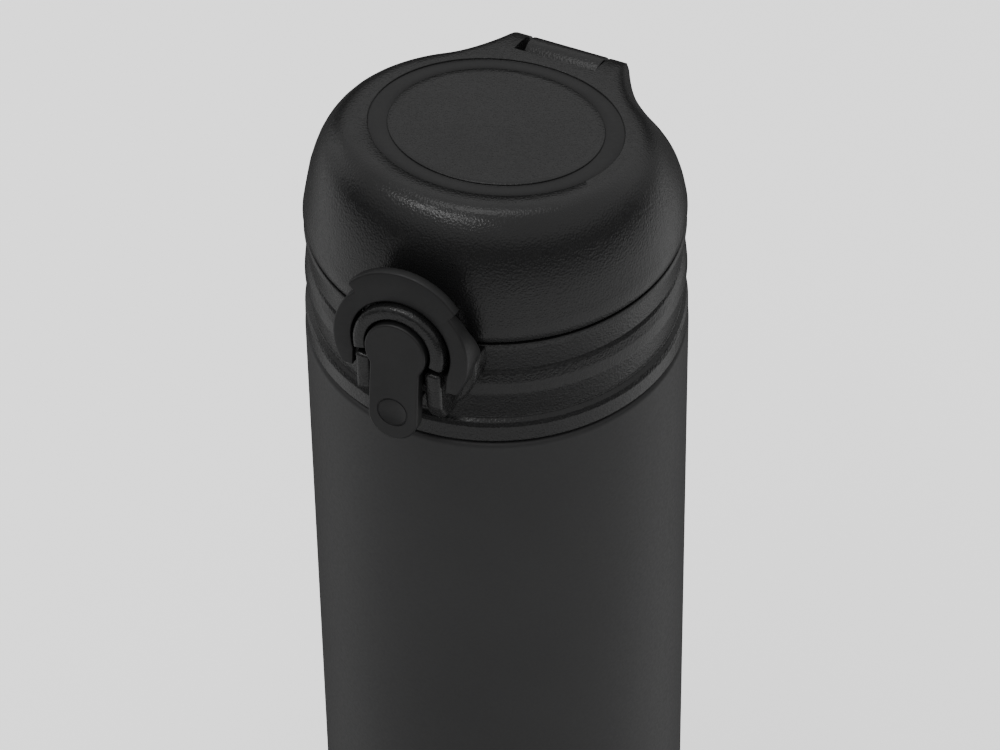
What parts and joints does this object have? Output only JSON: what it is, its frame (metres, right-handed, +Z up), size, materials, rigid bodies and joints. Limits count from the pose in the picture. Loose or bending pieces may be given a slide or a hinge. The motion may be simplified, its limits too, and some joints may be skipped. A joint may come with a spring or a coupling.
{
  "type": "vacuum flask",
  "caption": "Slim double-walled steel flask with a screw-in stopper unit, hinged slanted flip lid, press lever and swinging lock ring.",
  "frame": {"origin": "centre of the base, on the surface that the flask stands on", "axes": "+Z up along the flask, -Y towards the press lever, +Y towards the lid's hinge, +X to the right seen from the lever side"},
  "size_m": [0.065, 0.0743, 0.2189],
  "materials": {
    "powder_coated_steel": "satin black powder coat with a very fine texture",
    "bare_steel": "bare stainless steel, finely brushed",
    "spring_steel": "drawn spring wire",
    "copper_foil": "bright copper foil",
    "grained_plastic": "black moulded plastic with a fine leather-like grain",
    "satin_plastic": "black moulded plastic, smooth satin face",
    "inner_plastic": "dark grey food-grade plastic",
    "silicone": "translucent grey silicone rubber",
    "base_rubber": "black rubber pad"
  },
  "bodies": {
    "flask": {"outer_shell": "powder_coated_steel", "outer_base": "powder_coated_steel", "base_pad": "base_rubber", "vacuum_seal": "bare_steel", "inner_vessel": "bare_steel", "reflective_foil": "copper_foil", "getter": "bare_steel"},
    "stopper_rise": {"mouth_gasket": "silicone"},
    "stopper": {"collar": "grained_plastic", "stopper_core": "inner_plastic", "spout": "inner_plastic", "spout_gasket": "silicone", "hinge_pin": "bare_steel", "hinge_spring": "spring_steel", "lever_pin": "bare_steel", "lever_spring": "spring_steel"},
    "lid": {"lid_cover": "grained_plastic", "lid_liner": "inner_plastic", "lid_seal": "silicone", "seal_holder": "inner_plastic"},
    "lock": {"lock_ring": "satin_plastic"},
    "lever": {"open_lever": "satin_plastic"}
  },
  "joints": [
    {"name": "stopper_lift", "type": "slide", "parent": "flask", "child": "stopper_rise", "axis": [0, 0, 1], "range_m": [0, 0.0101]},
    {"name": "stopper_turn", "type": "hinge", "parent": "stopper_rise", "child": "stopper", "pos_m": [0, 0, 0.174], "axis": [0, 0, 1], "range_deg": [0, 720]},
    {"name": "lid_open", "type": "hinge", "parent": "stopper", "child": "lid", "pos_m": [0, 0.0286, 0.2042], "axis": [-1, 0, 0], "range_deg": [0, 115]},
    {"name": "ring_drop", "type": "hinge", "parent": "stopper", "child": "lock", "pos_m": [0, -0.036, 0.1928], "axis": [1, 0, 0], "range_deg": [0, 95]},
    {"name": "lever_press", "type": "hinge", "parent": "stopper", "child": "lever", "pos_m": [0, -0.0363, 0.1895], "axis": [1, 0, 0], "range_deg": [0, 8], "stiffness_Nm_per_rad": 0.2, "springref_deg": -5.73, "deforming": ["lever_spring"]}
  ],
  "couplings": [
    {"joint": "stopper_lift", "follows": "stopper_turn", "m_per_rad": 0.00079577}
  ]
}
